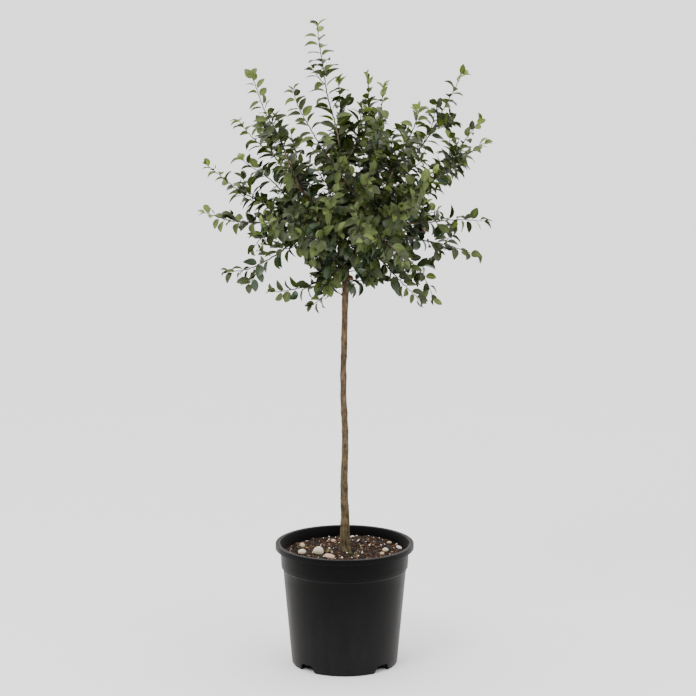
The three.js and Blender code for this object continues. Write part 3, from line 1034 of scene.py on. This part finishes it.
def leavesAlong(bundles, stalks, path, start, tones, rng, sizeAt, droop):
    # leaves in turn on either side of a shoot, smaller and paler towards its tip
    spacing = growth["leafStep"]
    middle = np.array(growth["headMiddle"])
    faceScatter = np.array(growth["faceScatter"])
    along = tangents(path)
    length = (len(path) - 1) * growth["step"]
    place = start * length + rng.uniform(0, spacing)
    number = int(rng.integers(2))
    drift = rng.uniform(-0.06, 0.06)
    sky = np.array([0, 0, 1.0])
    # the spray lies in the upright plane that runs out from the stem
    outward = path[-1] - middle
    central = np.hypot(outward[0], outward[1]) < growth["centralReach"]
    flat = np.array([0, 1.0, 0]) if central else unit(np.cross(sky, outward))
    roll = rng.normal(0, growth["sprayRoll"]) * (0.25 if central else 1)

    def grow(point, forward, lift, share, least, most):
        # one leaf whose face is turned up along lift, give or take a little
        up = lift + rng.normal(0, 1, 3) * faceScatter
        up = unit(up - forward * np.dot(up, forward))
        size = growth["leafLength"] * sizeAt(share) * rng.uniform(least, most)
        addLeaf(bundles, stalks, tones(share, rng), point, forward, up, size, rng)

    while place < length:
        share = place / length
        index = min(len(path) - 1, int(place / growth["step"]))
        axis = along[index]
        level = unit(np.cross(axis, flat))
        out = turnAbout(level, axis, roll + rng.normal(0, growth["leafRoll"]))
        out = out if number % 2 else -out
        lean = rng.uniform(*growth["leanOut" if share < 0.93 else "leanAtTip"])
        sag = 0.12 - droop + rng.normal(0, 0.2)
        forward = unit(axis * math.cos(lean) + out * math.sin(lean) + sky * sag)
        grow(path[index], forward, sky + 0.3 * axis + 0.45 * unit(path[index] - middle), share, 0.85, 1.12)
        place += spacing * rng.uniform(0.8, 1.2)
        number += 1
        roll += drift
    # a tuft of small leaves round the bud
    for turn in range(2):
        out = turnAbout(level, axis, 2.7 * turn + roll)
        forward = unit(along[-1] + out * rng.uniform(0.3, 0.9))
        grow(path[-1], forward, sky - 0.5 * out, 1, 0.6, 1.1)


def wander(path, rng):
    # a slight wave, and a small kink at each joint
    amount, (first, second) = growth["wave"], growth["waveScale"]
    waves = rng.uniform(0, 2 * np.pi, 4)
    steps = np.arange(len(path)) * growth["step"]
    fade = np.minimum(1, steps / growth["waveFade"])
    moved = path.copy()
    for i, (one, two) in enumerate(sides(path)):
        kink = (abs((steps[i] / growth["leafStep"] / 2) % 1 - 0.5) - 0.25) * growth["kink"]
        moved[i] += fade[i] * (one * (amount * math.sin(steps[i] * first + waves[0]) + kink)
                               + two * amount * math.sin(steps[i] * second + waves[1]))
    return moved


def massPath(name, start, rng):
    # the middle line of a leaf mass, from the bough's end to the shoot's tip, and its girth
    cloud = sampleNode(name, rng)
    away = np.linalg.norm(cloud - start, axis=1)
    reach = away.max()
    tip = cloud[away > reach - growth["tipReach"]].mean(0)
    centres, girths = binnedPath(cloud, start, np.linspace(0.12 * reach, 0.92 * reach, 7))
    knots = np.array([start, *centres, tip])
    eased = knots.copy()
    eased[1:-1] = 0.25 * knots[:-2] + 0.5 * knots[1:-1] + 0.25 * knots[2:]
    path = splined(eased, growth["step"])
    trim = max(2, len(path) - int(growth["tipTrim"] / growth["step"]))
    return path[:trim], float(np.median(girths))


def grownTwig(start, heading, length, rng, rise, waver):
    # step by step from its start, its heading drawn up or down and wavering a little
    point, points = start, [start]
    for _ in range(int(length / growth["step"])):
        heading = unit(heading + np.array([0, 0, rise]) + rng.normal(0, waver, 3))
        point = point + heading * growth["step"]
        points.append(point)
    return np.array(points)


def sideTwig(path, index, rng, length):
    # a short twig that leaves the shoot and curves up
    axis = tangents(path)[index]
    across = unit(np.cross(axis, rng.normal(0, 1, 3)))
    spread = rng.uniform(*growth["twigSpread"])
    heading = unit(axis * math.cos(spread) + across * math.sin(spread))
    return grownTwig(path[index], heading, length, rng, growth["twigRise"], growth["twigWaver"])


def toneChooser(kind, youngFrom=2.0):
    # which leaf colour a place on a shoot takes; no leaf is young where youngFrom is past the tip
    def choose(share, rng):
        # the heart and the low shoots take mostly the darkest leaf tones, a painted shade inside and under
        # the head
        if kind == "heart":
            return rng.choice(["deep", "glossyShade", "mid", "light"], p=[0.42, 0.34, 0.18, 0.06])
        if share > youngFrom:
            return "young" if rng.uniform() < 0.7 else "light"
        if share > 0.66:
            pale = 0.36 if youngFrom < 1 else 0.08
            return rng.choice(["light", "mid", "deep"], p=[pale, 0.48, 0.52 - pale])
        if kind == "low":
            return rng.choice(["glossyShade", "deep", "mid"], p=[0.42, 0.3, 0.28])
        return rng.choice(["mid", "deep", "light", "glossyShade"], p=[0.44, 0.33, 0.13, 0.1])
    return choose


# sprigs that spring straight from the top of the stem: height, bearing in degrees, length
stemSprigs = [
    (0.992, 25, 0.05), (1.0, -75, 0.045), (1.006, 205, 0.055), (1.012, -130, 0.075), (1.02, -20, 0.085),
    (1.028, 130, 0.07), (1.036, -95, 0.085), (1.044, -50, 0.11), (1.05, 80, 0.08), (1.058, 185, 0.07),
    (1.064, -110, 0.1), (1.072, -30, 0.12), (1.08, 30, 0.09), (1.086, -70, 0.12), (1.094, 150, 0.09),
    (1.1, -140, 0.09), (1.108, -10, 0.12), (1.116, -85, 0.11), (1.124, 100, 0.1), (1.132, -50, 0.12),
    (1.142, 210, 0.1), (1.152, -105, 0.11), (1.162, 60, 0.1), (1.172, -30, 0.11), (1.184, 160, 0.1),
    (1.196, -80, 0.1),
]


# sprigs at the back that rise from the stem higher up: how many, where, and how long
risingSprigs = {
    "count": 16,
    "height": (1.19, 1.37),
    "bearing": (15, 165),
    "length": (0.07, 0.12),
}


def stemSprig(height, bearing, length, rng, rise=0.25, bend=-0.03):
    # a sprig from the stem's skin, hanging unless it is told to rise
    skin, out, _ = onStem(height, math.radians(bearing))
    heading = unit(out + np.array([0, 0, rise]))
    return grownTwig(skin - out * 0.002, heading, length, rng, bend, growth["sprigWaver"])


def growHead():
    rng = np.random.default_rng(growth["seed"])
    tones = {tone: Bundle() for tone in leafTones}
    stalks, wood, twigs = Bundle(), Bundle(), Bundle()
    masses = sorted(n for n in nodes if n.startswith("mass_"))
    starts = {limb: path[-1] for limb, path in boughPaths.items()}
    starts["leader"] = stemKnots[-1]
    lines = []

    def tipward(share):
        return 1.0 if share < 0.65 else 1 - 0.26 * (share - 0.65) / 0.35

    def broad(share):
        return 1.15 - 0.2 * share

    def strong(share):
        return 1.2 * tipward(share)

    def leafyTwig(twig, bare, kind, sizeAt, droop, thickness=1.0):
        fine = np.linspace(growth["twigRadius"] * thickness, growth["tipRadius"], len(twig))
        twigs.add(*tube(twig, fine, 5))
        leavesAlong(tones, stalks, twig, bare, toneChooser(kind), rng, sizeAt, droop)

    for name in masses:
        # the main shoot, woody at first, and then its side twigs
        limb = name[len("mass_"):].rsplit("_", 1)[0]
        path, girth = massPath(name, starts[limb], rng)
        path = wander(path, rng)
        lines.append(path)
        share = np.linspace(0, 1, len(path))
        radii = growth["shootRadius"] + (growth["tipRadius"] - growth["shootRadius"]) * share ** 0.8
        half = int(len(path) * growth["woodyShare"])
        wood.add(*tube(path[:half + 1], radii[:half + 1], 7))
        twigs.add(*tube(path[half:], radii[half:], 6))
        kind = "low" if path[-1][2] < growth["lowTip"] else "high"
        droop = 0.3 if kind == "low" else 0.05
        sizeAt = strong if limb == "leader" else tipward
        # young leaves stand at the tips of the high shoots, not on the ones in front or lowest down
        fresh = kind == "high" and "front" not in limb
        tone = toneChooser(kind, growth["youngFrom"]) if fresh else toneChooser(kind)
        leavesAlong(tones, stalks, path, growth["bareStart"], tone, rng, sizeAt, droop)
        length = (len(path) - 1) * growth["step"]
        spare = max(0, girth - growth["bareGirth"])
        count = spare / growth["girthPerTwig"] * length / growth["usualShoot"] * fullness.get(limb, 1)
        for _ in range(int(round(count))):
            place = rng.uniform(*growth["twigPlace"])
            reach = rng.uniform(*growth["twigLength"]) * (0.6 + girth / 0.09) * (1.15 - 0.6 * place)
            twig = sideTwig(path, int(len(path) * place), rng, reach)
            leafyTwig(twig, 0.2, kind, tipward, droop)
    for path in boughPaths.values():
        for _ in range(growth["twigsPerBough"]):
            index = int(len(path) * rng.uniform(0.12, 0.95))
            twig = sideTwig(path, index, rng, rng.uniform(*growth["innerTwig"]))
            leafyTwig(twig, 0.15, "heart", tipward, 0.25, 1.2)
    for height, bearing, length in stemSprigs:
        leafyTwig(stemSprig(height, bearing, length, rng), 0.1, "heart", broad, 0.4)
    for height in np.linspace(*risingSprigs["height"], risingSprigs["count"]):
        bearing = rng.uniform(*risingSprigs["bearing"])
        twig = stemSprig(height, bearing, rng.uniform(*risingSprigs["length"]), rng, 0.7, 0.01)
        leafyTwig(twig, 0.1, "high", tipward, 0.1)
    return tones, stalks, wood, twigs, masses, lines


# withered blooms: how far right and how high they show from in front
bloomPlaces = [(0.178, 1.197), (0.182, 1.147), (-0.11, 1.29)]


def witheredBlooms(lines):
    # small crumpled flowers left on the shoots nearest to their places
    rng = np.random.default_rng(growth["seed"] + 3)
    points = np.concatenate(lines)
    shown = points[:, 2] + 0.187 * points[:, 1]
    blooms, stalks = Bundle(), Bundle()
    for x, z in bloomPlaces:
        apart = np.hypot(points[:, 0] - x, shown - z) + 0.12 * np.maximum(0, points[:, 1] + 0.12)
        twig = points[np.argmin(apart)]
        out = unit(unit(twig - growth["headMiddle"]) + np.array([0, -0.9, -0.1]))
        base = twig + out * 0.022
        stalks.add(*tube(np.array([twig, twig + out * 0.012, base]), (0.0008, 0.0007, 0.0009), 5))
        level = unit(np.cross(out, (0.1, 0.2, 1)))
        for number in range(7):
            around = turnAbout(level, out, 0.9 * number + rng.uniform(-0.2, 0.2))
            forward = unit(out * rng.uniform(0.3, 1.0) + around)
            up = unit(out - forward * np.dot(out, forward))
            petal, uv = leafBlade(base, forward, up, rng.uniform(0.009, 0.014), 0.85,
                                  rng.uniform(0.3, 0.6), rng.uniform(-1.5, -0.6), rng.uniform(0.15, 0.4))
            blooms.add(petal, bladeFaces, uv)
    return blooms, stalks


def leafMaterial(name, face, vein, back, roughness, coat=0.0):
    # a leaf: soft mottled green, a paler middle rib with side veins, and a paler underside
    material, shader = newMaterial(name, roughness, 0.18 + 1.5 * coat)
    tree = material.node_tree
    tone = addMottle(material, scaled(face, 0.78), scaled(face, 1.18), 70, contrast=2.0)
    place = axes(tree, newNode(tree, "UVMap", {}, uv_map="leafMap").outputs["UV"])
    away = maths(tree, "ABSOLUTE", maths(tree, "SUBTRACT", place["X"], 0.5))
    rib = ranged(tree, away, veining["ribEdge"], (1, 0))
    slanted = maths(tree, "MULTIPLY_ADD", away, -veining["slant"], place["Y"])
    wave = maths(tree, "SINE", maths(tree, "MULTIPLY", slanted, 2 * math.pi * veining["pairs"]))
    veins = maths(tree, "MAXIMUM", rib, ranged(tree, wave, veining["sideEdge"], (0, veining["sideDepth"])))
    turned = tree.nodes.new("ShaderNodeNewGeometry")
    skin = mixed(tree, turned.outputs["Backfacing"], tone["Color"], opaque(back))
    feed(shader, {"Base Color": mixed(tree, veins, skin, opaque(scaled(vein, veining["bright"])))})
    addBump(material, shader, veins, 0.0003, 0.6)
    if coat:
        feed(shader, {"Coat Weight": coat, "Coat Roughness": 0.25})
    return material


# base colours of the leaves: upper face, veins, underside, roughness, gloss
leafTones = {
    "young": ((0.15, 0.2, 0.032), (0.21, 0.26, 0.068), (0.16, 0.2, 0.058), 0.5, 0.0),
    "light": ((0.074, 0.104, 0.011), (0.122, 0.155, 0.03), (0.096, 0.125, 0.034), 0.5, 0.0),
    "mid": ((0.038, 0.058, 0.0065), (0.075, 0.1, 0.02), (0.062, 0.082, 0.022), 0.48, 0.02),
    "deep": ((0.0145, 0.0245, 0.0036), (0.036, 0.05, 0.012), (0.034, 0.045, 0.014), 0.45, 0.04),
    # the glossy tone is darker and bluer than the others: a painted shade tone, also shinier, dealt mostly
    # to the heart and the low shoots
    "glossyShade": ((0.0125, 0.032, 0.0095), (0.036, 0.062, 0.023), (0.033, 0.052, 0.022), 0.36, 0.1),
}

# how the veins are drawn: where the rib and the side veins end, and how the side veins run
veining = {
    "ribEdge": (0.02, 0.07),
    "slant": 0.7,
    "pairs": 8,
    "sideEdge": (0.8, 1),
    "sideDepth": 0.35,
    "bright": 1.35,
}


def dressHead():
    tones, stalks, wood, twigs, masses, lines = growHead()
    blooms, bloomStalks = witheredBlooms(lines)
    shootWood = mottledSkin("shootWood", "twig", (0.06, 0.042, 0.022), (0.19, 0.15, 0.08))
    twigWood = mottledSkin("twigSkin", "twig", (0.014, 0.009, 0.008), (0.052, 0.034, 0.026))
    stalkGreen = mottledSkin("leafStalk", "twig", (0.07, 0.07, 0.028), (0.14, 0.14, 0.06))
    petalSkin = leafMaterial("bloomPetal", (0.46, 0.27, 0.2), (0.58, 0.4, 0.31), (0.5, 0.34, 0.27), 0.6)
    wood.finish("leafy_shoots", shootWood, "bark", *masses, degrees=60)
    twigs.finish("young_twigs", twigWood, "bark", degrees=60)
    stalks.finish("leaf_stalks", stalkGreen, "foliage")
    blooms.finish("withered_blooms", petalSkin, "foliage", degrees=80)
    bloomStalks.finish("bloom_stalks", twigWood, "bark")
    for tone, (face, vein, back, roughness, coat) in leafTones.items():
        green = leafMaterial("leaf" + tone.capitalize(), face, vein, back, roughness, coat)
        tones[tone].finish("leaves_" + tone, green, "foliage", degrees=80)
    print("leaves:", sum(len(bundle.points) for bundle in tones.values()))


dressHead()
print("head grown")


# floor, light and camera

studio = {
    "floorSize": 160.0,
    "floorTone": (0.86, 0.86, 0.855),
    "frontSky": 0.62,
    "backSky": 1.75,
    "topSky": 1.0,
    "lightAim": (0, 0, 0.8),
    "cameraPlace": (0.0086, -6.0, 1.944),
    "cameraPitch": 79.43,
    "lens": 124.66,
}

# each light: place, width and height, power
lamps = {
    "keyLight": ((-1.9, -2.6, 3.6), (1.6, 1.6), 96),
    "fillLight": ((2.6, -2.2, 2.2), (1.8, 1.8), 28),
}


def makeFloor():
    deselectAll()
    bpy.ops.mesh.primitive_plane_add(size=studio["floorSize"], location=(0, 0, 0))
    floor = named(bpy.context.active_object, "studio_floor")
    material, shader = newMaterial("paleFloor", 0.9, 0.1)
    pale = studio["floorTone"]
    feed(shader, {"Base Color": addMottle(material, scaled(pale, 0.985), pale, 3)["Color"]})
    floor.data.materials.append(material)


def makeLight(name, place, size, power):
    data = bpy.data.lights.new(name, "AREA")
    data.shape = "RECTANGLE"
    data.size, data.size_y = size
    data.energy = power
    light = bpy.data.objects.new(name, data)
    light.location = place
    aim = Vector(studio["lightAim"]) - Vector(place)
    light.rotation_euler = aim.to_track_quat("-Z", "Y").to_euler()
    bpy.context.scene.collection.objects.link(light)


def lightRoom(tree):
    # a pale room, dimmer in front of the pot and brightest overhead
    look = axes(tree, newCoordinates(tree)["Generated"])
    depth = ranged(tree, look["Y"], (-1, 0), (studio["frontSky"], studio["backSky"]), "SMOOTHSTEP")
    height = ranged(tree, look["Z"], (0, 1), (0, studio["topSky"]))
    feed(tree.nodes["Background"], {"Color": (1, 1, 1, 1), "Strength": maths(tree, "ADD", depth, height)})


def makeStudio():
    makeFloor()
    world = bpy.data.worlds.new("paleRoom")
    bpy.context.scene.world = world
    world.use_nodes = True
    lightRoom(world.node_tree)
    for name, (place, size, power) in lamps.items():
        makeLight(name, place, size, power)
    cameraData = bpy.data.cameras.new("camera")
    cameraData.lens = studio["lens"]
    cameraData.sensor_width = 36
    cameraData.clip_end = 300
    camera = bpy.data.objects.new("camera", cameraData)
    camera.location = studio["cameraPlace"]
    camera.rotation_euler = (math.radians(studio["cameraPitch"]), 0, 0)
    bpy.context.scene.collection.objects.link(camera)
    bpy.context.scene.camera = camera


makeStudio()
print("studio set")
